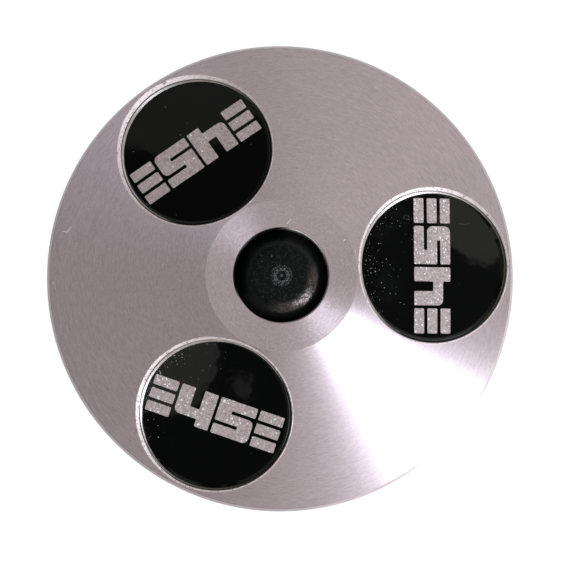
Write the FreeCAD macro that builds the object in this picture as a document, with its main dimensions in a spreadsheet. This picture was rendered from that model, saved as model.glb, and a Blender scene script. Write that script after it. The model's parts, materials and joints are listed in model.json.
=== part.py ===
import FreeCAD, Part
import os
import Sketcher

# Adapter that centres a large-hole record on a record player's spindle.
# A turned aluminium body has a conical top with three round pockets, each with a thin glossy badge,
# and a spindle bore whose upper end is closed by a loose round-topped plug.
# Frame: millimetres, +Z up, origin on the bore's axis at the underside, +X through badge_1.

BADGE_COUNT = 3
FULL_TURN = 360
SAME_PLACE = 1e-6
# The half-sections stand on the far side from badge_1, so that no seam of a turned face meets a pocket.
SECTION_TURN = FreeCAD.Placement(FreeCAD.Vector(), FreeCAD.Rotation(FreeCAD.Vector(0, 1, 0), 180))

# Name, value and meaning of every driving dimension: millimetres, and degrees for the slope.
SIZES = (
    ("rim_diameter", 38.0, "outside of the rim, a running fit in a large-hole record"),
    ("rim_height", 8.0, "underside to the line where the cone would meet the rim"),
    ("rim_lead_in", 0.6, "chamfer under the rim that finds the record's hole"),
    ("rim_edge_break", 0.2, "edge taken off between the rim and the cone"),
    ("cone_slope", 12.25, "fall of the conical top towards the rim"),
    ("land_diameter", 12.24, "flat ring left round the bore at the top"),
    ("spindle_bore_diameter", 7.2, "bore that stands over the player's spindle"),
    ("bore_mouth_chamfer", 0.4, "countersink of the bore at the underside"),
    ("plug_ledge", 0.18, "width of the step that carries the plug"),
    ("plug_seat_depth", 2.2, "depth of the plug's seat below the land"),
    ("seat_edge_break", 0.1, "edge taken off round the top of the seat"),
    ("pocket_land_wall", 0.07, "cone left between a pocket's mouth and the land, in plan"),
    ("pocket_rim_wall", 0.4, "cone left between a pocket's mouth and the rim, in plan"),
    ("pocket_edge_chamfer", 0.18, "edge taken off round the mouth of a pocket"),
    ("badge_thickness", 0.55, "thickness of a badge at its edge"),
    ("badge_crown", 0.12, "rise of a badge's face from its edge to its middle"),
    ("badge_recess", 0.45, "depth of a badge's edge below the cone"),
    ("badge_clearance", 0.05, "gap all round a badge in its pocket"),
    ("badge_edge_bevel", 0.13, "bevel of a badge's upper edge"),
    ("plug_clearance", 0.03, "gap all round the plug in its seat"),
    ("plug_sink", 0.1, "depth of the plug's top below the land"),
    ("plug_crown", 0.12, "rise of the plug's top from its side to its middle"),
    ("plug_shoulder_radius", 1.7, "rounding between the plug's side and its top"),
    ("plug_foot_chamfer", 0.06, "chamfer under the plug, narrower than its bearing on the ledge"),
)

# Sizes and places that follow from the driving dimensions, as expressions on the sheet's cells.
RIM_RADIUS = "(Sizes.rim_diameter / 2)"
LAND_RADIUS = "(Sizes.land_diameter / 2)"
BORE_RADIUS = "(Sizes.spindle_bore_diameter / 2)"
SEAT_RADIUS = f"({BORE_RADIUS} + Sizes.plug_ledge)"
LAND_HEIGHT = f"(Sizes.rim_height + ({RIM_RADIUS} - {LAND_RADIUS}) * tan(Sizes.cone_slope))"
LEDGE_HEIGHT = f"({LAND_HEIGHT} - Sizes.plug_seat_depth)"

POCKET_INNER = f"({LAND_RADIUS} + Sizes.pocket_land_wall)"
POCKET_OUTER = f"({RIM_RADIUS} - Sizes.pocket_rim_wall)"
MOUTH_RADIUS = f"(({POCKET_OUTER} - {POCKET_INNER}) / 2 / cos(Sizes.cone_slope))"
POCKET_RADIUS = f"({MOUTH_RADIUS} - Sizes.pocket_edge_chamfer)"
POCKET_PITCH = f"(({POCKET_OUTER} + {POCKET_INNER}) / 2)"
POCKET_DEPTH = "(Sizes.badge_thickness + Sizes.badge_recess)"
POCKET_MOUTH_HEIGHT = f"(Sizes.rim_height + ({RIM_RADIUS} - {POCKET_PITCH}) * tan(Sizes.cone_slope))"

FLOOR_PITCH = f"({POCKET_PITCH} - {POCKET_DEPTH} * sin(Sizes.cone_slope))"
FLOOR_HEIGHT = f"({POCKET_MOUTH_HEIGHT} - {POCKET_DEPTH} * cos(Sizes.cone_slope))"
BADGE_RADIUS = f"({POCKET_RADIUS} - Sizes.badge_clearance)"

PLUG_RADIUS = f"({SEAT_RADIUS} - Sizes.plug_clearance)"
PLUG_HEIGHT = "(Sizes.plug_seat_depth - Sizes.plug_sink)"
PLUG_SIDE_HEIGHT = f"({PLUG_HEIGHT} - Sizes.plug_crown)"


def make_sheet(doc):
    """Put the driving dimensions in a spreadsheet, one row each."""
    sheet = doc.addObject("Spreadsheet::Sheet", "Sizes")
    for row, (name, value, meaning) in enumerate(SIZES, start=1):
        sheet.set(f"A{row}", name)
        sheet.set(f"B{row}", str(value))
        sheet.set(f"C{row}", meaning)
        sheet.setAlias(f"B{row}", name)
    doc.recompute()


def origin_feature(body, role):
    """Return one of a body's own origin planes or axes."""
    return next(item for item in body.Origin.OriginFeatures if item.Role == role)


def new_sketch(body, name, plane_role):
    """Start a sketch on one of a body's own origin planes."""
    sketch = body.newObject("Sketcher::SketchObject", name)
    sketch.AttachmentSupport = [(origin_feature(body, plane_role), "")]
    sketch.MapMode = "FlatFace"
    return sketch


def bind(sketch, constraint, expression):
    """Add a constraint to a sketch and tie its size to an expression."""
    index = sketch.addConstraint(constraint)
    sketch.setExpression(f"Constraints[{index}]", expression)


def place_corner(sketch, line, radius, height):
    """Fix the start of a sketched line at a radius and a height, each an expression or zero."""
    if radius == 0:
        sketch.addConstraint(Sketcher.Constraint("PointOnObject", line, 1, -2))
    else:
        size = sketch.evalExpression(radius)
        bind(sketch, Sketcher.Constraint("DistanceX", -1, 1, line, 1, size), radius)
    if height == 0:
        sketch.addConstraint(Sketcher.Constraint("PointOnObject", line, 1, -1))
    else:
        size = sketch.evalExpression(height)
        bind(sketch, Sketcher.Constraint("DistanceY", -1, 1, line, 1, size), height)


def corner_point(sketch, corner):
    """Work out where a corner lies now, so that the sketch starts out solved."""
    radius, height = [sketch.evalExpression(size) if size else 0.0 for size in corner]
    return FreeCAD.Vector(radius, height, 0)


def sketch_outline(sketch, corners, crowned_corner=None):
    """Draw a closed half-section through corners given as (radius, height) expressions.

    The run that starts at crowned_corner is an arc centred on the axis, and all others are straight."""
    points = [corner_point(sketch, corner) for corner in corners]
    for start, point in enumerate(points):
        following = points[(start + 1) % len(points)]
        if start == crowned_corner:
            opposite = FreeCAD.Vector(-point.x, point.y, 0)
            circle = Part.Arc(point, following, opposite).toShape().Curve
            first = circle.parameter(point)
            last = circle.parameter(following)
            sketch.addGeometry(Part.ArcOfCircle(circle, first, last))
        else:
            sketch.addGeometry(Part.LineSegment(point, following))
    for start in range(len(corners)):
        following = (start + 1) % len(corners)
        sketch.addConstraint(Sketcher.Constraint("Coincident", start, 2, following, 1))
    for start, (radius, height) in enumerate(corners):
        place_corner(sketch, start, radius, height)
    if crowned_corner is not None:
        sketch.addConstraint(Sketcher.Constraint("PointOnObject", crowned_corner, 3, -2))


def revolve_outline(doc, body, name, corners, crowned_corner=None):
    """Turn a half-section about the Z axis into a solid."""
    sketch = new_sketch(body, f"{name}_section", "XZ_Plane")
    sketch.AttachmentOffset = SECTION_TURN
    sketch_outline(sketch, corners, crowned_corner)
    turned = body.newObject("PartDesign::Revolution", f"{name}_turned")
    turned.Profile = sketch
    turned.ReferenceAxis = (sketch, ["V_Axis"])
    turned.Angle = FULL_TURN
    doc.recompute()
    return turned


def ring_edge(feature, radius, height):
    """Name the round edge of a turned solid that has a given radius and height."""
    target_radius = feature.evalExpression(radius)
    target_height = feature.evalExpression(height) if height else 0.0
    for number, edge in enumerate(feature.Shape.Edges, start=1):
        if not isinstance(edge.Curve, Part.Circle):
            continue
        same_radius = abs(edge.Curve.Radius - target_radius) < SAME_PLACE
        same_height = abs(edge.Curve.Center.z - target_height) < SAME_PLACE
        if same_radius and same_height:
            return f"Edge{number}"
    raise RuntimeError(f"{feature.Label} has no edge of radius {radius} at height {height}")


def mouth_edges(feature):
    """Name the edges where pockets meet the cone, the only ones neither straight nor round."""
    names = []
    for number, edge in enumerate(feature.Shape.Edges, start=1):
        if not isinstance(edge.Curve, (Part.Line, Part.Circle)):
            names.append(f"Edge{number}")
    if len(names) != BADGE_COUNT:
        raise RuntimeError(f"{feature.Label} has {len(names)} pocket mouths instead of {BADGE_COUNT}")
    return names


def soften_edges(doc, body, feature_type, name, base, edges, size_name, size):
    """Fillet or chamfer edges of a feature, given by their names."""
    softened = body.newObject(f"PartDesign::{feature_type}", name)
    softened.Base = (base, edges)
    softened.setExpression(size_name, size)
    doc.recompute()
    return softened


def make_adapter_body(doc):
    """Turn the aluminium body, then cut the pockets square to its cone."""
    body = doc.addObject("PartDesign::Body", "adapter_body")
    corners = (
        (f"{BORE_RADIUS} + Sizes.bore_mouth_chamfer", 0),
        (f"{RIM_RADIUS} - Sizes.rim_lead_in", 0),
        (RIM_RADIUS, "Sizes.rim_lead_in"),
        (RIM_RADIUS, "Sizes.rim_height - Sizes.rim_edge_break"),
        (f"{RIM_RADIUS} - Sizes.rim_edge_break",
         "Sizes.rim_height + Sizes.rim_edge_break * tan(Sizes.cone_slope)"),
        (LAND_RADIUS, LAND_HEIGHT),
        (f"{SEAT_RADIUS} + Sizes.seat_edge_break", LAND_HEIGHT),
        (SEAT_RADIUS, f"{LAND_HEIGHT} - Sizes.seat_edge_break"),
        (SEAT_RADIUS, LEDGE_HEIGHT),
        (BORE_RADIUS, LEDGE_HEIGHT),
        (BORE_RADIUS, "Sizes.bore_mouth_chamfer"),
    )
    turned = revolve_outline(doc, body, "body", corners)

    circle = new_sketch(body, "pocket_circle", "XY_Plane")
    mouth = f"vector({POCKET_PITCH}; 0; {POCKET_MOUTH_HEIGHT})"
    circle.setExpression("AttachmentOffset", f"placement({mouth}; rotation(0; Sizes.cone_slope; 0))")
    radius = circle.evalExpression(POCKET_RADIUS)
    circle.addGeometry(Part.Circle(FreeCAD.Vector(), FreeCAD.Vector(0, 0, 1), radius))
    circle.addConstraint(Sketcher.Constraint("Coincident", 0, 3, -1, 1))
    bind(circle, Sketcher.Constraint("Radius", 0, radius), POCKET_RADIUS)
    doc.recompute()

    pocket = body.newObject("PartDesign::Pocket", "badge_pocket")
    pocket.Profile = circle
    pocket.SideType = "Two sides"
    pocket.setExpression("Length", POCKET_DEPTH)
    pocket.setExpression("Length2", POCKET_DEPTH)
    doc.recompute()
    if not pocket.Shape.Volume < turned.Shape.Volume:
        raise RuntimeError("the badge pocket cuts nothing")

    pattern = body.newObject("PartDesign::PolarPattern", "badge_pockets")
    pattern.Originals = [pocket]
    pattern.Axis = (origin_feature(body, "Z_Axis"), [""])
    pattern.Angle = FULL_TURN
    pattern.Occurrences = BADGE_COUNT
    body.Tip = pattern
    doc.recompute()
    mouths = mouth_edges(pattern)
    soften_edges(doc, body, "Chamfer", "pocket_mouths", pattern, mouths, "Size", "Sizes.pocket_edge_chamfer")
    return body


def make_badge(doc, index):
    """Make one thin round badge with a low crowned face and lay it on the floor of its pocket."""
    name = f"badge_{index + 1}"
    body = doc.addObject("PartDesign::Body", name)
    corners = (
        (0, 0),
        (BADGE_RADIUS, 0),
        (BADGE_RADIUS, "Sizes.badge_thickness"),
        (0, "Sizes.badge_thickness + Sizes.badge_crown"),
    )
    turned = revolve_outline(doc, body, name, corners, crowned_corner=2)
    upper_edge = ring_edge(turned, BADGE_RADIUS, "Sizes.badge_thickness")
    soften_edges(doc, body, "Chamfer", f"{name}_bevel", turned, [upper_edge], "Size", "Sizes.badge_edge_bevel")
    turn = FULL_TURN / BADGE_COUNT * index
    floor = f"vector({FLOOR_PITCH} * cos({turn}); {FLOOR_PITCH} * sin({turn}); {FLOOR_HEIGHT})"
    body.setExpression("Placement", f"placement({floor}; rotation({turn}; Sizes.cone_slope; 0))")
    return body


def make_centre_plug(doc):
    """Make the round-topped plug and stand it on the ledge in the bore."""
    name = "centre_plug"
    body = doc.addObject("PartDesign::Body", name)
    corners = (
        (0, 0),
        (PLUG_RADIUS, 0),
        (PLUG_RADIUS, PLUG_SIDE_HEIGHT),
        (0, PLUG_HEIGHT),
    )
    turned = revolve_outline(doc, body, name, corners, crowned_corner=2)
    shoulder = ring_edge(turned, PLUG_RADIUS, PLUG_SIDE_HEIGHT)
    rounded = soften_edges(
        doc, body, "Fillet", f"{name}_shoulder", turned, [shoulder], "Radius", "Sizes.plug_shoulder_radius")
    foot = ring_edge(rounded, PLUG_RADIUS, 0)
    soften_edges(doc, body, "Chamfer", f"{name}_foot", rounded, [foot], "Size", "Sizes.plug_foot_chamfer")
    body.setExpression("Placement", f"placement(vector(0; 0; {LEDGE_HEIGHT}); rotation(0; 0; 0))")
    return body


def check_document(doc, bodies):
    """Stop if any object failed or any sub-part is not one sound solid."""
    for item in doc.Objects:
        if "Invalid" in item.State or "Error" in item.State:
            raise RuntimeError(f"{item.Label} failed: {item.State}")
    for body in bodies:
        shape = body.Shape
        if shape.isNull() or not shape.isValid() or len(shape.Solids) != 1:
            raise RuntimeError(f"{body.Label} is not one valid solid")


def main():
    doc = FreeCAD.newDocument("record_spindle_adapter")
    make_sheet(doc)
    bodies = [make_adapter_body(doc)]
    bodies += [make_badge(doc, index) for index in range(BADGE_COUNT)]
    bodies.append(make_centre_plug(doc))
    doc.recompute()
    check_document(doc, bodies)

    os.makedirs("parts", exist_ok=True)
    for body in bodies:
        body.Shape.exportStep(f"parts/{body.Label}.step")
        box = body.Shape.BoundBox
        print(f"{body.Label}: {body.Shape.Volume:.2f} mm3, height {box.ZMin:.3f} to {box.ZMax:.3f} mm")


main()
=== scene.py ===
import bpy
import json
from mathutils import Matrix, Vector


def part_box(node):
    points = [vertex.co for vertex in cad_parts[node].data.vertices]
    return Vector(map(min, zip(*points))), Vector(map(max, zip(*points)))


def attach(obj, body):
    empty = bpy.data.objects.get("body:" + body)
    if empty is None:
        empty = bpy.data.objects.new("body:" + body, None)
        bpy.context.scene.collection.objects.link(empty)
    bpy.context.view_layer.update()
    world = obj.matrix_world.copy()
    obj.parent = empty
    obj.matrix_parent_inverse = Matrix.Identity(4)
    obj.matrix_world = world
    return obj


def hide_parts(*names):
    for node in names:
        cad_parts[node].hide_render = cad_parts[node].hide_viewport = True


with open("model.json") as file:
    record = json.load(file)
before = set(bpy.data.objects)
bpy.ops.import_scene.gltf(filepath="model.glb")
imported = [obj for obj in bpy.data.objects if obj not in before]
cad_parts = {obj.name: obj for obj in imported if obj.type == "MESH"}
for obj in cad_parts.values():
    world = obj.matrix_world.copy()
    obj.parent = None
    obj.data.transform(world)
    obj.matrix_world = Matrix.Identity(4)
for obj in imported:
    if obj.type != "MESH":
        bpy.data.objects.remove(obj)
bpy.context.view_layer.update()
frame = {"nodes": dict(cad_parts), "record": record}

import json
from collections import namedtuple
from functools import reduce
from math import acos, atan2, copysign, cos, exp, hypot, pi, sin, sqrt, tan

import bpy
import numpy as np
from bpy.props import FloatProperty, FloatVectorProperty, PointerProperty
from bpy.types import Operator, Panel, PropertyGroup
from mathutils import Matrix, Vector, noise
from mathutils.geometry import delaunay_2d_cdt

bl_info = {
    "name": "Record Spindle Adapter",
    "version": (1, 0, 0),
    "blender": (4, 5, 0),
    "location": "View3D > Sidebar > Adapter",
    "description": "Dresses a record spindle adapter in turned metal, glossy badges and a moulded plug",
    "category": "Object",
}

# The script works in metres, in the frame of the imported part: +Z up, the bore's axis at the origin.
MM = 0.001
FULL_TURN = 2 * pi
QUARTER_TURN = pi / 2
DEGREE = pi / 180
BODY = "root"
UP = Vector((0, 0, 1))

# How finely round things are divided.
TURN_STEPS = 360
LIP_STEPS = 300
BADGE_STEPS = 180
PLUG_STEPS = 180
FLOOR_STEPS = 96
ROUND_STEPS = 4
FIT_ROUNDS = 6
WELD = 1e-8
PLAN_TOLERANCE = 1e-7

# A pocket's lip: the fall of its inner edge break for its width, and how soon it narrows to its sides.
THROAT_STEEPNESS = 1.7
BROAD_POWER = 1.5
INNER_POWER = 3

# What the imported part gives.
BADGE_NODES = sorted(name for name in frame["nodes"] if name.startswith("badge_"))
BODY_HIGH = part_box("adapter_body")[1]
BADGE_LOW, BADGE_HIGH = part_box(BADGE_NODES[0])
PLUG_LOW, PLUG_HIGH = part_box("centre_plug")
BORE = next(mount for mount in frame["record"]["mounts"] if mount["kind"] == "bore")


# Settings that a user would change

def setting(kind=FloatProperty, **limits):
    """Maker of settings of one sort, each from a name, a description and a default."""
    def make(name, description, default):
        return kind(name=name, description=description, default=default, **limits)
    return make


length = setting(min=0.0, precision=6, unit="LENGTH")
angle = setting(subtype="ANGLE")
focus = setting(min=1.0, unit="CAMERA")
power = setting(min=0.0, unit="POWER")
amount = setting(min=0.0, soft_max=1.0, subtype="FACTOR")
shift = setting(soft_min=-1.0, soft_max=1.0, subtype="FACTOR")
colour = setting(FloatVectorProperty, min=0.0, max=1.0, subtype="COLOR")


class AdapterSizes(PropertyGroup):
    """Sizes of the adapter's pieces."""

    rim_radius: length("Rim radius", "Outside of the rim", BODY_HIGH.x)
    rim_height: length("Rim height", "Up to where cone and rim would meet", 8.0 * MM)
    rim_lead_in: length("Rim lead-in", "Chamfer under the rim", 0.6 * MM)
    rim_edge_break: length("Rim edge break", "Edge taken off above the rim", 0.2 * MM)
    cone_slope: angle("Cone slope", "Fall of the conical top", 12.25 * DEGREE)
    land_radius: length("Land radius", "Outside of the flat ring", 6.12 * MM)
    land_height: length("Land height", "Height of the flat ring", BODY_HIGH.z)
    bore_radius: length("Bore radius", "Bore for the spindle", BORE["dims"]["r_mm"] * MM)
    bore_mouth_chamfer: length("Bore mouth chamfer", "Countersink at the underside", 0.4 * MM)
    seat_clearance: length("Seat clearance", "Gap round the plug", 0.03 * MM)
    seat_edge_break: length("Seat edge break", "Edge taken off round the plug", 0.1 * MM)
    edge_softness: length("Edge softness", "Rounding of the turned edges", 0.035 * MM)
    land_lean: angle("Land lean", "Outward lean of the land's last cut", 1.3 * DEGREE)
    lip_chamfer: length("Lip chamfer", "Edge taken off round a pocket", 0.18 * MM)
    lip_slope: angle("Lip slope", "Fall of a pocket's chamfer", 27.0 * DEGREE)
    burr_width: length("Burr width", "Burr on a pocket's lip", 0.045 * MM)
    burr_height: length("Burr height", "Burr on a pocket's lip", 0.022 * MM)
    badge_radius: length("Badge radius", "Outside of a badge", BADGE_HIGH.y)
    badge_clearance: length("Badge clearance", "Gap round a badge", 0.05 * MM)
    badge_thickness: length("Badge thickness", "A badge at its edge", 0.55 * MM)
    badge_recess: length("Badge recess", "A badge's edge below the cone", 0.45 * MM)
    badge_crown: length("Badge crown", "Rise of a badge's face", 0.12 * MM)
    badge_bevel: length("Badge bevel", "Rounded edge of a badge", 0.13 * MM)
    badge_bead: length("Badge bead", "Bead round a badge's face", 0.1 * MM)
    print_length: length("Print length", "Print on a badge", 11.0 * MM)
    print_height: length("Print height", "Print on a badge", 3.05 * MM)
    print_thickness: length("Print thickness", "Print on a badge", 0.012 * MM)
    plug_radius: length("Plug radius", "Outside of the plug", PLUG_HIGH.x)
    plug_shoulder: length("Plug shoulder", "Rounding of the shoulder", 1.7 * MM)
    plug_crown: length("Plug crown", "Rise of the plug's top", 0.12 * MM)
    plug_foot: length("Plug foot", "Chamfer under the plug", 0.06 * MM)


class AdapterFinish(PropertyGroup):
    """Colours and sheen of the adapter's finishes."""

    metal: colour("Metal", "Bare turned aluminium", (0.78, 0.656, 0.679))
    lip_metal: colour("Lip metal", "Cut edges of the pockets", (0.72, 0.63, 0.61))
    pocket_wall: colour("Pocket wall", "Walls of the pockets", (0.66, 0.60, 0.54))
    # Pocket grime is partly dirt and partly painted shade in the pockets' throats and floors.
    pocket_grime_and_shade: colour("Pocket grime", "Dirty inner edges and floors of the pockets", (0.06, 0.055, 0.05))
    badge_black: colour("Badge black", "Face of a badge", (0.0014, 0.0016, 0.0015))
    badge_edge: colour("Badge edge", "Silvery edge of a badge", (0.52, 0.46, 0.43))
    print_silver: colour("Print silver", "Glitter print", (0.49, 0.40, 0.385))
    plug_black: colour("Plug black", "Moulded plug", (0.002, 0.0032, 0.0028))
    dust: colour("Dust", "Dust and lint", (0.42, 0.42, 0.40))
    metal_roughness: amount("Metal roughness", "Spread of the cone's highlights", 0.322)
    land_roughness: amount("Land roughness", "Spread of the land's highlights", 0.23)
    turning_bump: length("Turning marks", "Depth of the turning marks", 0.002 * MM)


class AdapterStage(PropertyGroup):
    """Camera, light and floor."""

    picture_turn: angle("Picture turn", "From the part's axes to the picture's", 4.25 * DEGREE)
    camera_distance: length("Camera distance", "From the rim's line", 0.220)
    camera_lean_right: angle("Camera lean right", "Lean of the view", -1.457 * DEGREE)
    camera_lean_up: angle("Camera lean up", "Lean of the view", -3.355 * DEGREE)
    camera_lens: focus("Lens", "Focal length in millimetres", 171.2)
    shift_right: shift("Shift right", "Shift of the picture", 0.0061)
    shift_up: shift("Shift up", "Shift of the picture", -0.0114)
    key_bearing: angle("Key bearing", "Direction in the picture", -38.9 * DEGREE)
    key_elevation: angle("Key elevation", "Height of the key light", 36.0 * DEGREE)
    key_distance: length("Key distance", "Distance of the key light", 0.70)
    key_width: length("Key width", "Width of the key light", 0.197)
    key_height: length("Key height", "Height of the key light", 0.94)
    key_power: power("Key power", "Power in watts", 5.15)
    key_tint: colour("Key tint", "Colour of the key light", (0.77, 0.86, 1.0))
    room_bearing: angle("Room bearing", "Lighter side, in the picture", -10.0 * DEGREE)
    room_level: amount("Room level", "Plain light of the room", 0.63)
    room_slant: amount("Room slant", "More light on the lighter side", 0.47)
    ceiling_level: amount("Ceiling level", "Share of light left overhead", 0.5)
    horizon_level: amount("Horizon level", "Share of light left near the floor", 0.6)
    floor_radius: length("Floor radius", "Reach of the floor", 3.0)
    floor_white: amount("Floor white", "Share of plain white in the floor", 0.9)


# Shapes

def put(name, data, seat):
    """Make an object of some data and put it in the scene."""
    item = bpy.data.objects.new(name, data)
    item.matrix_world = seat
    bpy.context.scene.collection.objects.link(item)
    return item


class Skin:
    """A piece's surface in the making: its points, its faces and the normal at each corner."""

    def __init__(self):
        self.points = []
        self.numbers = {}
        self.faces = []
        self.normals = []
        self.finishes = []
        self.finish = 0

    def number(self, place):
        """Number of the point at a place, new or there already."""
        key = tuple(round(value / WELD) for value in place)
        if key not in self.numbers:
            self.numbers[key] = len(self.points)
            self.points.append(place)
        return self.numbers[key]

    def face(self, corners):
        """Add a face from (place, normal) corners, each place once."""
        kept = {}
        for place, normal in corners:
            kept.setdefault(self.number(place), normal)
        if len(kept) > 2:
            self.faces.append(list(kept))
            self.normals.extend(kept.values())
            self.finishes.append(self.finish)

    def strip(self, first, second):
        """Join two closed rings of corners with a band of faces."""
        for step in range(len(first)):
            after = (step + 1) % len(first)
            self.face([first[step], first[after], second[after], second[step]])

    def cover(self, rings):
        """Join a run of closed rings of corners."""
        for first, second in zip(rings, rings[1:]):
            self.strip(first, second)

    def bare_strip(self, first, second):
        """Join two closed rings of bare places, smooth along the band."""
        facing = []
        for step in range(len(first)):
            along = first[(step + 1) % len(first)] - first[step]
            facing.append(along.cross(second[step] - first[step]).normalized())
        normals = [(facing[step - 1] + facing[step]).normalized() for step in range(len(first))]
        self.strip(list(zip(first, normals)), list(zip(second, normals)))

    def turn(self, stations, steps):
        """Turn an open run of (radius, height, normal angle) stations about the Z axis."""
        self.cover([turned_ring(station, steps) for station in stations])

    def piece(self, name, finishes, seat=Matrix()):
        """Make an object of the surface, with its finishes, in its own frame."""
        mesh = bpy.data.meshes.new(name)
        mesh.from_pydata(self.points, [], self.faces)
        for finish in finishes:
            mesh.materials.append(finish)
        mesh.polygons.foreach_set("material_index", self.finishes)
        mesh.shade_smooth()
        mesh.normals_split_custom_set(self.normals)
        return put(name, mesh, seat)


def around(step, steps):
    """Unit vector in the plan at one step of a full turn."""
    turn = FULL_TURN * step / steps
    return Vector((cos(turn), sin(turn), 0))


def turned_ring(station, steps):
    """Corners of a ring about the Z axis."""
    radius, height, tilt = station
    ring = []
    for step in range(steps):
        out = around(step, steps)
        ring.append((out * radius + UP * height, out * cos(tilt) + UP * sin(tilt)))
    return ring


def round_section(section, roundings):
    """Round the corners of a closed outline and give each corner's (x, y, normal angle) stations.

    The outline runs anticlockwise, so its outside is on the right of the way along it."""
    rounded = []
    for here, rounding in enumerate(roundings):
        before, corner, after = [Vector(section[(here + k) % len(section)]) for k in (-1, 0, 1)]
        inward = corner - before
        onward = after - corner
        heading = atan2(inward.y, inward.x)
        turn = atan2(onward.y, onward.x) - heading
        turn = (turn + pi) % FULL_TURN - pi
        half = tan(abs(turn) / 2)
        reach = min(rounding * half, 0.45 * inward.length, 0.45 * onward.length)
        radius = copysign(reach / half, turn)
        normal = heading - QUARTER_TURN
        start = corner - inward.normalized() * reach
        middle = start - radius * Vector((cos(normal), sin(normal)))
        stations = []
        for step in range(ROUND_STEPS + 1):
            tilt = normal + turn * step / ROUND_STEPS
            place = middle + radius * Vector((cos(tilt), sin(tilt)))
            stations.append((place.x, place.y, tilt))
        rounded.append(stations)
    return rounded


def inside_ring(ring, spots):
    """Tell which spots lie inside a closed ring, in plan."""
    x, y = spots.T
    inside = np.zeros(len(spots), bool)
    for here, after in zip(ring, ring[1:] + ring[:1]):
        if here.y == after.y:
            continue
        reach = here.x + (y - here.y) / (after.y - here.y) * (after.x - here.x)
        inside ^= ((here.y > y) != (after.y > y)) & (x < reach)
    return inside


def fill_plan(rings, spots):
    """Triangulate what lies inside an odd number of rings, in plan, through loose spots."""
    places = [place for ring in rings for place in ring] + spots
    edges = []
    for ring in rings:
        first = edges[-1][0] + 1 if edges else 0
        edges += [(first + step, first + (step + 1) % len(ring)) for step in range(len(ring))]
    plan = [place.xy / MM for place in places]
    _, _, faces, sources, _, _ = delaunay_2d_cdt(plan, edges, [], 0, PLAN_TOLERANCE)
    triangles = [[places[sources[number][0]] for number in face] for face in faces]
    middles = np.array([sum((place.xy for place in face), Vector((0, 0))) / 3 for face in triangles])
    kept = np.zeros(len(faces), bool)
    for ring in rings:
        kept ^= inside_ring(ring, middles)
    return [face for face, keep in zip(triangles, kept) if keep]


def uneven(turn, lobes, seed):
    """Smooth chance between about -1 and 1 along a closed ring."""
    return noise.noise(Vector((cos(turn) * lobes, sin(turn) * lobes, seed)))


# The turned body

# Runs of the body's section that are the cone and the land.
CONE_RUN = 4
LAND_RUN = 5
# Order of the body's finishes.
CONE_FINISH, LAND_FINISH, LIP_FINISH, WALL_FINISH, GRIME_AND_SHADE_FINISH = range(5)
# Finishes of a pocket's bands, from the burr down to the floor.
# The throat and the floor take the dark grime finish, which is also painted shade.
POCKET_FINISHES = (LIP_FINISH, LIP_FINISH, GRIME_AND_SHADE_FINISH, WALL_FINISH, GRIME_AND_SHADE_FINISH)


def cone_height(sizes, radius):
    """Height of the cone at a radius."""
    return sizes.land_height - (radius - sizes.land_radius) * tan(sizes.cone_slope)


def cone_corner(sizes, place):
    """A place's corner on the cone, with the cone's own normal."""
    out = Vector((place.x, place.y, 0)).normalized()
    normal = out * sin(sizes.cone_slope)
    normal.z = cos(sizes.cone_slope)
    return place, normal


def badge_seat(sizes, index):
    """Frame of a badge: origin in the middle of its underside, X outward, Z square to the cone."""
    slope = sizes.cone_slope
    pitch = BADGE_LOW.x + sizes.badge_radius * cos(slope)
    height = BADGE_LOW.z + sizes.badge_radius * sin(slope)
    turn = Matrix.Rotation(FULL_TURN / len(BADGE_NODES) * index, 4, "Z")
    return turn @ Matrix.Translation((pitch, 0, height)) @ Matrix.Rotation(slope, 4, "Y")


def rise_to_cone(sizes, spot):
    """Height of the cone above a spot on a badge's underside, square to it."""
    seat = badge_seat(sizes, 0)
    rise = sizes.badge_thickness + sizes.badge_recess
    for _ in range(FIT_ROUNDS):
        place = seat @ Vector((spot.x, spot.y, rise))
        excess = place.z - cone_height(sizes, hypot(place.x, place.y))
        rise -= excess * cos(sizes.cone_slope)
    return rise


def lip_rings(sizes, index):
    """Rings of a pocket from its lip to its floor: burr's foot and crest, brow, throat and base.

    The lip was broken by hand: widest at one bearing, where it hangs over the gap, and narrow on the
    side next to the bore."""
    seat = badge_seat(sizes, index)
    wall = sizes.badge_radius + sizes.badge_clearance
    widest = BADGE_STATES[index].lip_bearing * DEGREE
    rings = [[], [], [], [], []]
    for step in range(LIP_STEPS):
        out = around(step, LIP_STEPS)
        turn = FULL_TURN * step / LIP_STEPS
        broad = (0.5 + 0.5 * cos(turn - widest)) ** BROAD_POWER
        inner = (0.5 - 0.5 * cos(turn)) ** INNER_POWER
        steep = max(sizes.lip_chamfer * (0.6 - 1.1 * broad), -sizes.badge_clearance)
        shallow = (sizes.lip_chamfer * (0.95 + 0.55 * broad) - steep) * (1 - 0.5 * inner)
        shallow *= 1 + 0.10 * uneven(turn, 3, index) + 0.07 * uneven(turn, 25, index)
        burr = 0.35 + uneven(turn, 5, index + 10) + 0.9 * uneven(turn, 45, index + 20)
        brow_radius = wall + steep
        lip = brow_radius + shallow
        foot = out * (lip + sizes.burr_width)
        crest = out * lip
        brow = out * brow_radius
        for place in (foot, crest, brow):
            place.z = rise_to_cone(sizes, place)
        crest.z += sizes.burr_height * max(burr, 0)
        brow.z -= shallow * tan(sizes.lip_slope)
        base = out * wall
        throat = base.copy()
        throat.z = brow.z - abs(steep) * THROAT_STEEPNESS
        for ring, place in zip(rings, (foot, crest, brow, throat, base)):
            ring.append(seat @ place)
    return rings


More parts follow.
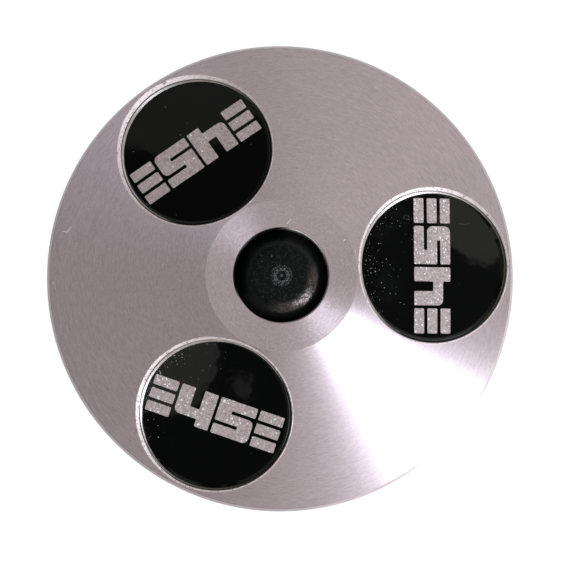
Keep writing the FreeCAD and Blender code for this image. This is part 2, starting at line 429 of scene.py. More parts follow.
def cone_spots(sizes, inner, outer, lips):
    """Loose places spread over the cone, clear of its edges and of the pockets."""
    spacing = 0.4 * MM
    growth = 1.03
    spots = []
    rows = round((outer - inner) / spacing)
    for row in range(1, rows):
        radius = inner + (outer - inner) * row / rows
        steps = round(FULL_TURN * radius / spacing)
        for step in range(steps):
            place = around(step + 0.5 * (row % 2), steps) * radius
            place.z = cone_height(sizes, radius)
            spots.append(place)
    plan = np.array([place.xy for place in spots])
    clear = np.ones(len(spots), bool)
    for index, lip in enumerate(lips):
        middle = badge_seat(sizes, index).translation
        grown = [middle + (place - middle) * growth for place in lip]
        clear &= ~inside_ring(grown, plan)
    return [place for place, keep in zip(spots, clear) if keep]


def body_section(sizes):
    """Half-section of the turned body, as (radius, height) corners."""
    rim = sizes.rim_radius
    bore = sizes.bore_radius
    land = sizes.land_height
    seat = sizes.plug_radius + sizes.seat_clearance
    rim_break = sizes.rim_edge_break
    return (
        (bore + sizes.bore_mouth_chamfer, 0),
        (rim - sizes.rim_lead_in, 0),
        (rim, sizes.rim_lead_in),
        (rim, sizes.rim_height - rim_break),
        (rim - rim_break, cone_height(sizes, rim - rim_break)),
        (sizes.land_radius, land),
        (seat + sizes.seat_edge_break, land),
        (seat, land - sizes.seat_edge_break),
        (seat, PLUG_LOW.z),
        (bore, PLUG_LOW.z),
        (bore, sizes.bore_mouth_chamfer),
    )


def make_body(sizes, finish):
    """Build the turned body with its pockets, burred lips and bore."""
    skin = Skin()
    section = body_section(sizes)
    corners = round_section(section, [sizes.edge_softness] * len(section))
    for here, stations in enumerate(corners):
        skin.turn(stations, TURN_STEPS)
        following = corners[(here + 1) % len(corners)]
        run = [stations[-1], following[0]]
        if here == LAND_RUN:
            skin.finish = LAND_FINISH
            run = [(radius, height, tilt - sizes.land_lean) for radius, height, tilt in run]
        if here != CONE_RUN:
            skin.turn(run, TURN_STEPS)
        skin.finish = CONE_FINISH

    rim = corners[CONE_RUN][-1]
    crown = corners[LAND_RUN][0]
    outer = [place for place, _ in turned_ring(rim, TURN_STEPS)]
    inner = [place for place, _ in turned_ring(crown, TURN_STEPS)]
    pockets = [lip_rings(sizes, index) for index in range(len(BADGE_NODES))]
    lips = [rings[0] for rings in pockets]
    spots = cone_spots(sizes, crown[0], rim[0], lips)
    for triangle in fill_plan([outer, inner] + lips, spots):
        skin.face([cone_corner(sizes, place) for place in triangle])

    for index, rings in enumerate(pockets):
        floor = [badge_seat(sizes, index).translation] * LIP_STEPS
        for first, second, skin.finish in zip(rings, rings[1:] + [floor], POCKET_FINISHES):
            skin.bare_strip(first, second)
    cone = turned_metal(
        finish, "turned_cone", lightness=1.0, roughness=finish.metal_roughness,
        metallic=0.87, anisotropy=0.848)
    land = turned_metal(
        finish, "turned_land", lightness=1.2, roughness=finish.land_roughness,
        metallic=0.88, anisotropy=0.838)
    finishes = (
        cone, land, lip_metal(finish),
        pocket_metal("pocket_wall", finish.pocket_wall), pocket_metal("pocket_grime_and_shade", finish.pocket_grime_and_shade))
    return skin.piece("turned_body", finishes)


# The badges and their print

BadgeState = namedtuple("BadgeState", "reading lip_bearing dust_bearing dust edge_dust sparks seed")
BADGE_STATES = (
    BadgeState(
        reading=85.75, lip_bearing=130.0, dust_bearing=160.0, dust=0.9, edge_dust=0.3,
        sparks=0.10, seed=3.0),
    BadgeState(
        reading=90.45, lip_bearing=21.0, dust_bearing=40.0, dust=0.05, edge_dust=0.0,
        sparks=0.035, seed=11.0),
    BadgeState(
        reading=96.75, lip_bearing=-116.0, dust_bearing=-98.0, dust=0.55, edge_dust=1.0,
        sparks=0.09, seed=7.0),
)


def crown_height(sizes, radius):
    """Height of a badge's face above its underside, at a radius."""
    share = radius / sizes.badge_radius
    return sizes.badge_thickness + sizes.badge_crown * (1 - share * share)


def crown_tilt(sizes, radius):
    """Angle of the normal of a badge's face above the horizontal, at a radius."""
    return atan2(1, 2 * sizes.badge_crown * radius / sizes.badge_radius ** 2)


def badge_stations(sizes):
    """Half-section of a badge from the middle of its underside to the middle of its face.

    A rounded bevel rises to a low bead, whose inner flank falls to the crowned face."""
    radius = sizes.badge_radius
    bevel = sizes.badge_bevel
    crest = 0.5 * bevel
    stations = [(0, 0, -QUARTER_TURN), (radius, 0, -QUARTER_TURN), (radius, 0, 0)]
    low = sizes.badge_thickness - bevel
    bead_top = sizes.badge_thickness + sizes.badge_bead
    bevel_steps = 6
    for step in range(bevel_steps + 1):
        tilt = QUARTER_TURN * step / bevel_steps
        x = radius - crest * (1 - cos(tilt))
        stations.append((x, low + (bead_top - low) * sin(tilt), tilt))
    face_edge = radius - 2 * bevel
    face_height = crown_height(sizes, face_edge)
    flank = QUARTER_TURN + atan2(bead_top - face_height, 2 * bevel - crest)
    stations.append((radius - crest, bead_top, flank))
    stations.append((face_edge, face_height, flank))
    crown_steps = 24
    for step in range(crown_steps + 1):
        here = face_edge * (1 - step / crown_steps)
        stations.append((here, crown_height(sizes, here), crown_tilt(sizes, here)))
    return stations


def make_badge(sizes, finish, index):
    """Build one badge in its own frame, seated on the floor of its pocket."""
    skin = Skin()
    skin.turn(badge_stations(sizes), BADGE_STEPS)
    gloss = badge_gloss(sizes, finish, index)
    return skin.piece(f"glossy_badge_{index + 1}", [gloss], badge_seat(sizes, index))


def print_outlines(sizes):
    """Outlines of the print: the number 45 between two sets of stripes, as (corners, roundings)."""
    high = sizes.print_height
    bar = 0.83 * MM
    gap = (high - 3 * bar) / 2
    stem = 1.15 * MM
    wide = 3.1 * MM
    space = 0.25 * MM
    soft = 0.09 * MM
    bold = 0.45 * MM
    stripe = (sizes.print_length - 2 * wide - 3 * space) / 2
    low_bar = 0.62 * MM
    four = (
        (0, low_bar), (wide - stem, low_bar), (wide - stem, 0), (wide, 0), (wide, high),
        (wide - stem, high), (wide - stem, low_bar + bar), (stem, low_bar + bar), (stem, high), (0, high),
    )
    five = (
        (0, 0), (wide, 0), (wide, 2 * bar + gap), (stem, 2 * bar + gap), (stem, 2 * (bar + gap)),
        (wide, 2 * (bar + gap)), (wide, high), (0, high), (0, bar + gap), (wide - stem, bar + gap),
        (wide - stem, bar), (0, bar),
    )
    left = -sizes.print_length / 2
    outlines = [
        (left + stripe + space, four, [bold] + [soft] * 9),
        (left + stripe + 2 * space + wide, five, [soft, bold, bold] + [soft] * 9),
    ]
    for row in range(3):
        foot = row * (bar + gap)
        corners = ((0, foot), (stripe, foot), (stripe, foot + bar), (0, foot + bar))
        outlines += [(start, corners, [soft] * 4) for start in (left, -left - stripe)]
    return [([(start + x, y - high / 2) for x, y in corners], softness)
            for start, corners, softness in outlines]


def lifted(sizes, x, y, lift):
    """A place above a badge's face."""
    return Vector((x, y, crown_height(sizes, hypot(x, y)) + lift))


def make_print(sizes, finish, index):
    """Build the print of one badge as a thin raised skin on its crowned face."""
    skin = Skin()
    spacing = 0.5 * MM
    columns = round(sizes.print_length / spacing)
    rows = round(sizes.print_height / spacing)
    lift = sizes.print_thickness
    grid = [
        lifted(sizes, (column + 0.5 - columns / 2) * spacing, (row + 0.5 - rows / 2) * spacing, lift)
        for column in range(columns) for row in range(rows)]
    plan = np.array([spot.xy for spot in grid])
    for corners, softness in print_outlines(sizes):
        stations = [station for corner in round_section(corners, softness) for station in corner]
        top = [lifted(sizes, x, y, lift) for x, y, _ in stations]
        foot = [lifted(sizes, x, y, 0) for x, y, _ in stations]
        spots = [spot for spot, keep in zip(grid, inside_ring(top, plan)) if keep]
        for triangle in fill_plan([top], spots):
            skin.face([(place, UP) for place in triangle])
            skin.face([(place - UP * lift, -UP) for place in reversed(triangle)])
        skin.bare_strip(foot, top)
    turn = Matrix.Rotation(BADGE_STATES[index].reading * DEGREE, 4, "Z")
    seat = badge_seat(sizes, index) @ turn
    return skin.piece(f"badge_print_{index + 1}", [glitter_print(finish, index)], seat)


# The plug

def plug_profile(sizes):
    """Profile of the plug's top from its side to its middle, as (radius, height) points."""
    radius = sizes.plug_radius
    top = PLUG_HIGH.z - PLUG_LOW.z
    shoulder = sizes.plug_shoulder
    dome = (radius ** 2 + sizes.plug_crown ** 2) / (2 * sizes.plug_crown)
    hub = radius - shoulder
    hub_height = top - dome + sqrt((dome - shoulder) ** 2 - hub ** 2)
    meeting = acos(hub / (dome - shoulder))
    points = []
    shoulder_steps = 28
    for step in range(shoulder_steps + 1):
        tilt = meeting * step / shoulder_steps
        points.append((hub + shoulder * cos(tilt), hub_height + shoulder * sin(tilt)))
    edge = points[-1][0]
    top_steps = 44
    for step in range(1, top_steps + 1):
        here = edge * (1 - step / top_steps)
        points.append((here, top - dome + sqrt(dome ** 2 - here ** 2)))
    return points


def plug_relief(radius, turn):
    """Small relief of the plug's top: the torn ring of its gate, and a faint step further out."""
    gate_radius = 0.52 * MM
    gate_width = 0.16 * MM
    gate_height = 0.035 * MM
    crater_radius = 0.35 * MM
    crater_depth = 0.02 * MM
    step_radius = 2.82 * MM
    step_width = 0.05 * MM
    step_depth = 0.03 * MM
    torn = 0.75 + uneven(turn, 2.5, 4.0) * 0.7 + uneven(turn, 9, 5.0) * 0.35
    gate = gate_height * torn * exp(-((radius - gate_radius) / gate_width) ** 2)
    crater = crater_depth * exp(-(radius / crater_radius) ** 2)
    fall = step_depth / (1 + exp((step_radius - radius) / step_width))
    return gate - crater - fall


def make_plug(sizes, finish):
    """Build the plug standing on the ledge in the bore."""
    skin = Skin()
    radius = sizes.plug_radius
    foot = sizes.plug_foot
    profile = plug_profile(sizes)
    below = [(0, 0, -QUARTER_TURN), (radius - foot, 0, -QUARTER_TURN), (radius, foot, 0), (*profile[0], 0)]
    skin.turn(below, PLUG_STEPS)
    rings = []
    for here, height in profile:
        ring = []
        for step in range(PLUG_STEPS):
            place = around(step, PLUG_STEPS) * here
            place.z = height + plug_relief(here, FULL_TURN * step / PLUG_STEPS) * (here < profile[0][0])
            ring.append(place)
        rings.append(ring)
    skin.cover([list(zip(*pair)) for pair in zip(rings, relief_normals(rings))])
    return skin.piece("moulded_plug", [plug_plastic(finish)], Matrix.Translation((0, 0, PLUG_LOW.z)))


def relief_normals(rings):
    """Normals of a grid of rings that runs inwards and upwards."""
    normals = []
    for number, ring in enumerate(rings):
        outer = rings[max(number - 1, 0)]
        inner = rings[min(number + 1, len(rings) - 1)]
        row = []
        for step in range(len(ring)):
            along = ring[(step + 1) % len(ring)] - ring[step - 1]
            if along.length < WELD:
                row.append(UP)
            else:
                row.append(along.cross(inner[step] - outer[step]).normalized())
        normals.append(row)
    return normals


# Finishes

def operator_pair(operation):
    """A wire's operator and its reflected form, which add one Math node."""
    def plain(self, other):
        return self.maths(operation, self, other)

    def reflected(self, other):
        return self.maths(operation, other, self)
    return plain, reflected


class Wire:
    """A shader value in a Python expression, where each operator adds a Math node."""

    def __init__(self, shader, socket):
        self.shader = shader
        self.socket = socket

    def maths(self, operation, *values):
        """Add one Math node."""
        return self.shader.node("ShaderNodeMath", dict(enumerate(values)), operation=operation)

    __add__, __radd__ = operator_pair("ADD")
    __sub__, __rsub__ = operator_pair("SUBTRACT")
    __mul__, __rmul__ = operator_pair("MULTIPLY")
    __truediv__, __rtruediv__ = operator_pair("DIVIDE")
    __pow__, __rpow__ = operator_pair("POWER")

    def larger(self, other):
        """The larger of two values."""
        return self.maths("MAXIMUM", self, other)

    def ease(self, low, high):
        """Go smoothly from 0 at low to 1 at high, or the other way round if low is above high."""
        inputs = {"Value": self, "From Min": low, "From Max": high}
        return self.shader.node("ShaderNodeMapRange", inputs, interpolation_type="SMOOTHSTEP")

    def other(self, output):
        """Another output of the same node."""
        return Wire(self.shader, self.socket.node.outputs[output])


class Shader:
    """A node tree, with the one method that adds nodes to it."""

    def __init__(self, owner):
        owner.use_nodes = True
        self.owner = owner
        self.tree = owner.node_tree
        self.tree.nodes.clear()

    def node(self, kind, inputs=None, output=0, **settings):
        """Add a node: its settings are made first, then its sockets get their values or links."""
        node = self.tree.nodes.new(kind)
        for name, value in settings.items():
            setattr(node, name, value)
        for name, value in (inputs or {}).items():
            if isinstance(value, Wire):
                self.tree.links.new(value.socket, node.inputs[name])
            else:
                node.inputs[name].default_value = value
        return Wire(self, node.outputs[output]) if node.outputs else None

    def millimetres(self):
        """Place on the piece in millimetres, in the piece's own frame."""
        return self.scale(self.node("ShaderNodeTexCoord", output="Object"), 1 / MM)

    def measure(self, operation, first, second):
        """A number that two vectors give, such as their distance."""
        return self.node("ShaderNodeVectorMath", {0: first, 1: second}, "Value", operation=operation)

    def split(self, vector):
        """The three values of a vector."""
        first = self.node("ShaderNodeSeparateXYZ", {0: vector})
        return first, first.other(1), first.other(2)

    def join(self, *values):
        """A vector of three values."""
        return self.node("ShaderNodeCombineXYZ", dict(enumerate(values)))

    def grain(self, place, scale, detail=2.0, roughness=0.5):
        """Soft noise between 0 and 1."""
        inputs = {"Vector": place, "Scale": scale, "Detail": detail, "Roughness": roughness}
        return self.node("ShaderNodeTexNoise", inputs)

    def cells(self, place, scale):
        """Distance to the middle of random cells, and two chances of each cell's own."""
        distance = self.node("ShaderNodeTexVoronoi", {"Vector": place, "Scale": scale})
        chance, second, _ = self.split(distance.other("Color"))
        return distance, chance, second

    def mix(self, share, first, second):
        """Go from one colour to another."""
        inputs = {0: share, 6: shade(first), 7: shade(second)}
        return self.node("ShaderNodeMix", inputs, 2, data_type="RGBA")

    def scale(self, vector, factor):
        """Make a vector longer or shorter, or a colour lighter or darker."""
        return self.node("ShaderNodeVectorMath", {0: vector, "Scale": factor}, operation="SCALE")

    def bump(self, height, depth):
        """Normal of a relief whose height runs from 0 to 1 over a depth in metres."""
        return self.node("ShaderNodeBump", {"Height": height, "Strength": 1.0, "Distance": depth})

    def surface(self, **inputs):
        """Give the finish its own shader and its output, and return it."""
        named = {name.replace("_", " "): value for name, value in inputs.items()}
        glossy = self.node("ShaderNodeBsdfPrincipled", named)
        self.node("ShaderNodeOutputMaterial", {"Surface": glossy})
        return self.owner


def shade(tint):
    """A plain colour with its alpha, or a wire as it is."""
    return tint if isinstance(tint, Wire) else (*tint, 1.0)


def new_finish(name):
    """Shader of a new material."""
    return Shader(bpy.data.materials.new(name))


def plan_reach(x, y):
    """Distance from the axis, in plan."""
    return (x * x + y * y) ** 0.5


def toward(x, y, degrees):
    """How far a place lies toward a bearing, in plan."""
    turn = degrees * DEGREE
    return x * cos(turn) + y * sin(turn)


def near_ring(radius, middle, width):
    """Mask of a thin ring, strongest along its middle."""
    offset = radius - middle
    return (offset * offset).ease(width * width, 0.0)


def near_stroke(x, y, start, end, width):
    """Mask of a short straight stroke in plan, from start to end."""
    run = Vector(end) - Vector(start)
    along = run.normalized()
    offset_x = x - start[0]
    offset_y = y - start[1]
    lengthwise = offset_x * along.x + offset_y * along.y
    sideways = offset_x * -along.y + offset_y * along.x
    beyond = (0 - lengthwise).larger(lengthwise - run.length).larger(0.0)
    return plan_reach(beyond, sideways).ease(width, 0.35 * width)


def turned_grain(shader, along, bearing, cut_scale, round_scale, detail):
    """Noise that is drawn out round the axis, as marks of a lathe are."""
    place = shader.join(along * cut_scale, bearing[0] * round_scale, bearing[1] * round_scale)
    return shader.grain(place, 1.0, detail, 0.6)


# Nicks in the metal, as (start, end, width) in plan, in millimetres.
NICKS = (
    ((-17.05, 4.95), (-16.72, 5.32), 0.09),
    ((-17.35, 5.02), (-17.1, 5.0), 0.06),
    ((-18.46, 0.98), (-18.42, 0.88), 0.09),
    ((-18.42, 0.88), (-18.3, 0.35), 0.03),
    ((0.72, 4.18), (1.05, 4.42), 0.05),
    ((5.15, 2.42), (5.36, 2.56), 0.05),
    ((6.05, 1.35), (6.12, 1.62), 0.05),
)
NICK_TINT = (0.95, 0.9, 0.88)

# Radii or heights in millimetres between which a mark, a painted shade or a painted glint on the metal
# comes in.
RIM_EDGE_SHADE = (18.7, 18.82)
RIM_EDGE_SHADE_HEIGHT = (7.72, 7.82)
RIM_SIDE = (18.93, 18.97)
RIM_SIDE_HEIGHT = (7.7, 7.6)
SEAT_SHADE_RADII = (3.92, 3.88)
SEAT_GLINT_INSIDE = (3.785, 3.8)
SEAT_GLINT_OUTSIDE = (3.86, 3.84)

# Bearings in degrees where the key light's highlight keeps the rim's edge free of painted shade,
# and where the seat's edge gets painted shade or a painted glint.
KEY_HIGHLIGHT_BEARING = -43.0
SEAT_SHADE_BEARING = 140.0
SEAT_GLINT_BEARING = 48.65

# Tint of the painted shade on the rim's edge.
RIM_EDGE_SHADE_TINT = (0.33, 0.335, 0.35)
RIM_SIDE_TINT = (0.66, 0.65, 0.65)
# Tint of the painted shade round the plug's seat.
SEAT_SHADE_TINT = (0.015, 0.015, 0.015)
# Tint of the painted glint on the seat's edge.
SEAT_GLINT_TINT = (0.95, 0.92, 0.9)


def turned_metal(finish, name, lightness, roughness, metallic, anisotropy):
    """Bare aluminium with concentric turning marks, a few nicks, faint stains, painted shade and a painted
    glint.
    """
    shader = new_finish(name)
    place = shader.millimetres()
    x, y, height = shader.split(place)
    radius = plan_reach(x, y)
    along = radius - height
    bearing = (x / radius, y / radius)
    fine = turned_grain(shader, along, bearing, 13.0, 24.0, 2.0)
    mid = turned_grain(shader, along, bearing, 5.0, 5.0, 3.0)
    speck = shader.grain(place, 7.0, 2.0, 0.7)
    stain = shader.grain(place, 0.16, 3.0, 0.55)

    key_highlight = toward(*bearing, KEY_HIGHLIGHT_BEARING).ease(0.6, 0.95)
    # Painted shade: the rim's edge break is darkened and blued, but not towards the key light's highlight.
    rim_edge_shade = radius.ease(*RIM_EDGE_SHADE) * height.ease(*RIM_EDGE_SHADE_HEIGHT) * (0.5 - 0.5 * key_highlight)
    rim_side = radius.ease(*RIM_SIDE) * height.ease(*RIM_SIDE_HEIGHT)
    # Painted shade: the seat's edge and the bore below it are darkened towards one bearing.
    seat_shade = radius.ease(*SEAT_SHADE_RADII) * toward(*bearing, SEAT_SHADE_BEARING).ease(0.3, 0.65)
    # Painted glint: a pale, non-metallic line on the seat's edge, made as a scrape, stands in for a
    # highlight.
    seat_glint = radius.ease(*SEAT_GLINT_INSIDE) * radius.ease(*SEAT_GLINT_OUTSIDE) * fine.ease(0.3, 0.5)
    seat_glint = seat_glint * toward(*bearing, SEAT_GLINT_BEARING).ease(0.86, 0.96)
    nick = reduce(Wire.larger, [near_stroke(x, y, *stroke) for stroke in NICKS])

    tone = lightness * (0.42 + 0.58 * fine + 0.17 * mid + 0.34 * speck + 0.08 * stain)
    base = shader.scale(finish.metal, tone)
    marks = (
        (nick * 0.6, NICK_TINT), (rim_edge_shade, RIM_EDGE_SHADE_TINT), (rim_side * 0.5, RIM_SIDE_TINT),
        (seat_shade, SEAT_SHADE_TINT), (seat_glint, SEAT_GLINT_TINT))
    for share, tint in marks:
        base = shader.mix(share, base, tint)
    relief = fine * 0.6 + mid * 0.4 + speck + nick * 2.0
    return shader.surface(
        Base_Color=base, Metallic=metallic * (1.0 - 0.4 * nick) * (1.0 - seat_glint),
        Roughness=roughness - 0.06 + 0.05 * mid + 0.07 * fine,
        Anisotropic=anisotropy, Anisotropic_Rotation=0.25, Normal=shader.bump(relief, finish.turning_bump))


def lip_metal(finish):
    """Cut metal of the pockets' lips: brighter, and chattered by the cutter."""
    shader = new_finish("pocket_lip")
    place = shader.millimetres()
    chatter = shader.grain(place, 7.0, 3.0, 0.65)
    stain = shader.grain(place, 1.3)
    nicked = shader.grain(place, 4.5, 3.0, 0.7).ease(0.57, 0.65)
    tone = (0.85 + 0.4 * chatter + 0.2 * stain) * (1.0 - 0.55 * nicked)
    return shader.surface(
        Base_Color=shader.scale(finish.lip_metal, tone), Metallic=0.72, Roughness=0.52 + 0.2 * chatter,
        Normal=shader.bump(chatter - nicked * 0.5, 0.025 * MM))


def pocket_metal(name, tint):
    """Dull milled metal inside the pockets, uneven where the badges are glued."""
    shader = new_finish(name)
    grime = shader.grain(shader.millimetres(), 3.0, 3.0, 0.6)
    return shader.surface(
        Base_Color=shader.scale(tint, 0.5 + grime), Roughness=0.5 + 0.2 * grime,
        Normal=shader.bump(grime, 0.01 * MM))


# Lint on the badges, as (start, end, width, strength) in a badge's own plan, in millimetres.
BADGE_LINT = {
    0: (
        ((-2.1, 4.0), (-1.98, 4.22), 0.05, 0.09),
        ((-1.98, 4.22), (-1.74, 4.24), 0.05, 0.06),
        ((-1.74, 4.24), (-1.62, 4.04), 0.05, 0.09),
        ((-1.62, 4.04), (-1.78, 3.86), 0.05, 0.07),
        ((-1.78, 3.86), (-2.1, 4.0), 0.05, 0.05),
        ((2.6, 3.3), (3.1, 3.2), 0.04, 0.08),
        ((3.1, 3.2), (3.5, 3.3), 0.04, 0.06),
    ),
    2: (
        ((-1.2, -5.5), (-1.0, -5.3), 0.06, 0.7),
    ),
}

# Sizes of dust on the badges, as (cells to a millimetre, rarity, size in a cell).
DUST_SIZES = ((1.9, 0.985, 0.14), (3.7, 0.985, 0.17), (6.5, 0.995, 0.24))

# The silvery edge of a badge in millimetres: its mean width, the shift of the black face away from the
# broad side of the lip, which paints shade over the edge on the other side, and the blur between them.
EDGE_WIDTH = 0.065
EDGE_SHADE_SHIFT = 0.19
EDGE_SOFTNESS = 0.012


def badge_gloss(sizes, finish, index):
    """Mirror-gloss black face inside a silvery edge, with dust, lint and faint smears."""
    state = BADGE_STATES[index]
    shader = new_finish(f"badge_gloss_{index + 1}")
    x, y, _ = shader.split(shader.millimetres())
    wave = shader.grain(shader.join(x, y, state.seed), 1.6, 3.0, 0.6)
    black_radius = sizes.badge_radius / MM - EDGE_WIDTH
    lip = state.lip_bearing * DEGREE
    # The black face is set off the middle, which paints shade over the silvery edge on one side.
    reach = plan_reach(x + EDGE_SHADE_SHIFT * cos(lip), y + EDGE_SHADE_SHIFT * sin(lip))
    edge = (reach + (wave - 0.5) * 0.03).ease(black_radius - EDGE_SOFTNESS, black_radius + EDGE_SOFTNESS)

    dust_side = toward(x, y, state.dust_bearing)
    dusty = (dust_side + (wave - 0.5) * 5.0).ease(0.0, 6.0) * state.dust
    crowded = (dust_side + (wave - 0.5) * 4.0).ease(3.0, 5.5) * state.edge_dust
    crowded = crowded * plan_reach(x, y).ease(4.7, 5.7)
    marks = []
    for scale, rarity, size in DUST_SIZES:
        cells, chance, extent = shader.cells(shader.join(x, y, state.seed * scale), scale)
        present = (chance + dusty * 0.16 + crowded * 0.75).ease(rarity, rarity + 0.02)
        marks.append(cells.ease(size, 0.5 * size) * present * (0.2 + 0.8 * extent))
    for start, end, width, strength in BADGE_LINT.get(index, ()):
        marks.append(near_stroke(x, y, start, end, width) * strength)
    flecks = reduce(Wire.larger, marks)
    film = shader.grain(shader.join(x, y, state.seed + 2.0), 0.5).ease(0.45, 0.75)
    ripple = shader.grain(shader.join(x, y, state.seed + 5.0), 0.45)

    black = shader.mix(flecks.larger(dusty * film * 0.012), finish.badge_black, finish.dust)
    base = shader.mix(edge, black, shader.scale(finish.badge_edge, 0.7 + 0.6 * wave))
    return shader.surface(
        Base_Color=base, Metallic=edge * 0.75, Roughness=0.03 + film * 0.02 + flecks * 0.5 + edge * 0.3,
        Specular_IOR_Level=0.45, Normal=shader.bump(ripple, 0.012 * MM))


# Colour of the painted glints in the print.
GLINT_TINT = (1.0, 0.97, 0.96)


def glitter_print(finish, index):
    """Silver glitter ink under gloss: grains of uneven brightness, and a few painted glints."""
    shader = new_finish(f"glitter_print_{index + 1}")
    x, y, _ = shader.split(shader.millimetres())
    state = BADGE_STATES[index]
    place = shader.join(x, y, state.seed)
    _, chance, second = shader.cells(place, 9.0)
    cloud = shader.grain(place, 0.7)
    rarity = 1.0 - state.sparks
    # Painted glints: white spots in the ink's colour stand in for flakes catching the light.
    painted_glint = (chance + 0.12 * (cloud - 0.5)).ease(rarity, rarity + 0.03) * second.ease(0.0, 0.7)
    silver = shader.scale(finish.print_silver, 0.62 + 0.55 * second + 0.2 * cloud)
    return shader.surface(
        Base_Color=shader.mix(painted_glint, silver, GLINT_TINT), Metallic=0.1, Roughness=0.35 + 0.2 * second,
        Coat_Weight=0.4, Coat_Roughness=0.05, Normal=shader.bump(chance, 0.01 * MM))


# Marks on the plug, in millimetres and degrees: the torn gate, the worn top and the painted highlight
# sheen.
GATE_RING = 0.53
GATE_RING_WIDTH = 0.173
OUTER_RING = 0.8
OUTER_RING_WIDTH = 0.1
GATE_DOT = (0.18, 0.1)
PLUG_TOP = (3.1, 2.2)
HIGHLIGHT_SHEEN_BEARING = -49.0
HIGHLIGHT_SHEEN_INSIDE = (2.0, 2.4)
HIGHLIGHT_SHEEN_OUTSIDE = (3.05, 2.85)
WORN_TINT = (0.75, 0.72, 0.70)
HIGHLIGHT_SHEEN_TINT = (0.118, 0.094, 0.086)


def plug_plastic(finish):
    """Satin black moulding with pale marks, a torn gate and a painted highlight sheen on its shoulder."""
    shader = new_finish("plug_plastic")
    place = shader.millimetres()
    x, y, _ = shader.split(place)
    radius = plan_reach(x, y)
    bearing = (x / radius, y / radius)
    scuff = shader.grain(place, 2.8, 3.0, 0.65)
    fine = shader.grain(place, 8.0, 2.0, 0.6)
    swirl = turned_grain(shader, radius, bearing, 8.0, 5.0, 3.0)

    cells, chance, extent = shader.cells(place, 3.4)
    on_top = radius.ease(*PLUG_TOP)
    pit = cells.ease(0.42, 0.05) * chance.ease(0.58, 0.7) * extent * on_top * fine.ease(0.4, 0.62)
    gate = near_ring(radius, GATE_RING, GATE_RING_WIDTH)
    gate = gate.larger(near_ring(radius, OUTER_RING, OUTER_RING_WIDTH) * 0.6).larger(radius.ease(*GATE_DOT))
    gate = gate * fine.ease(0.42, 0.6)
    worn = fine.ease(0.48, 0.7) * scuff.ease(0.4, 0.65) * on_top
    # Painted highlight: a tinted metallic sheen on the shoulder, on the side where the key light's
    # highlight falls.
    arc = radius.ease(*HIGHLIGHT_SHEEN_INSIDE) * radius.ease(*HIGHLIGHT_SHEEN_OUTSIDE)
    arc = arc * toward(*bearing, HIGHLIGHT_SHEEN_BEARING).ease(0.3, 0.9)
    highlight_sheen = arc * (swirl * 0.8 + fine * 0.4).ease(0.4, 0.75)

    base = shader.mix(pit * 0.11 + gate * 0.17 + worn * 0.035, finish.plug_black, WORN_TINT)
    return shader.surface(
        Base_Color=shader.mix(highlight_sheen, base, HIGHLIGHT_SHEEN_TINT), Metallic=highlight_sheen,
        Roughness=0.15 + 0.14 * scuff + 0.25 * gate, Specular_IOR_Level=0.22,
        Normal=shader.bump(scuff + pit * 0.4, 0.03 * MM))


# The stage

def picture_frame(stage):
    """Turn from the picture's axes, right and up, to the part's axes."""
    return Matrix.Rotation(-stage.picture_turn, 3, "Z")


def picture_way(stage, bearing, elevation):
    """Direction in the part's axes, from a bearing in the picture and an elevation."""
    flat = cos(elevation)
    way = Vector((flat * cos(bearing), flat * sin(bearing), sin(elevation)))
    return picture_frame(stage) @ way


def camera_back(stage):
    """Direction from the adapter to the camera, in the picture's axes."""
    lean = Vector((sin(stage.camera_lean_right), sin(stage.camera_lean_up), 0))
    return Vector((lean.x, lean.y, sqrt(1 - lean.length_squared)))


def hang(name, data, sizes, turned, distance):
    """Put a camera or a light at a distance above the rim's middle, along its own Z axis."""
    place = UP * sizes.rim_height + turned.col[2] * distance
    return put(name, data, Matrix.Translation(place) @ turned.to_4x4())


def make_camera(scene, sizes, stage):
    """Place the camera above the adapter, leaning as the photograph does."""
    back = camera_back(stage)
    right = Vector((0, 1, 0)).cross(back).normalized()
    axes = Matrix((right, back.cross(right), back)).transposed()
    data = bpy.data.cameras.new("camera")
    data.lens = stage.camera_lens
    data.shift_x = stage.shift_right
    data.shift_y = stage.shift_up
    data.clip_start = 0.01
    data.clip_end = 10.0
    turned = picture_frame(stage) @ axes
    scene.camera = hang("camera", data, sizes, turned, stage.camera_distance)


def make_key_light(sizes, stage):
    """Hang one tall soft light to the picture's lower right."""
    data = bpy.data.lights.new("key_light", "AREA")
    data.shape = "RECTANGLE"
    data.size = stage.key_width
    data.size_y = stage.key_height
    data.energy = stage.key_power
    data.color = stage.key_tint
    way = picture_way(stage, stage.key_bearing, stage.key_elevation)
    hang("key_light", data, sizes, way.to_track_quat("Z", "Y").to_matrix(), stage.key_distance)


# Dim patches that the badges mirror, as (direction in the picture's axes, reach, level).
CEILING_PATCHES = (
    ((0.56, 0.175, 0.81), 0.08, 0.5),
    ((-0.25, 0.55, 0.80), 0.13, 0.2),
    ((-0.248, -0.291, 0.924), 0.07, 0.42),
    ((-0.143, -0.33, 0.933), 0.012, 0.25),
)


def badge_glance(sizes, stage, index):
    """Direction that a badge's face mirrors to the camera."""
    back = picture_frame(stage) @ camera_back(stage)
    facing = badge_seat(sizes, index).col[2].to_3d()
    return (-back).reflect(facing)


# How the room's light falls off: heights of a direction, and distances between unit directions.
CEILING_HEIGHT = (0.72, 0.85)
HORIZON_HEIGHT = (0.25, 0.7)
BADGE_SHADE = 0.85
BADGE_SHADE_REACH = (0.26, 0.16)
PATCH_SOFTNESS = 0.006
DIMMEST = 0.05
ROOM_TINT = (1.0, 0.97, 0.94, 1.0)


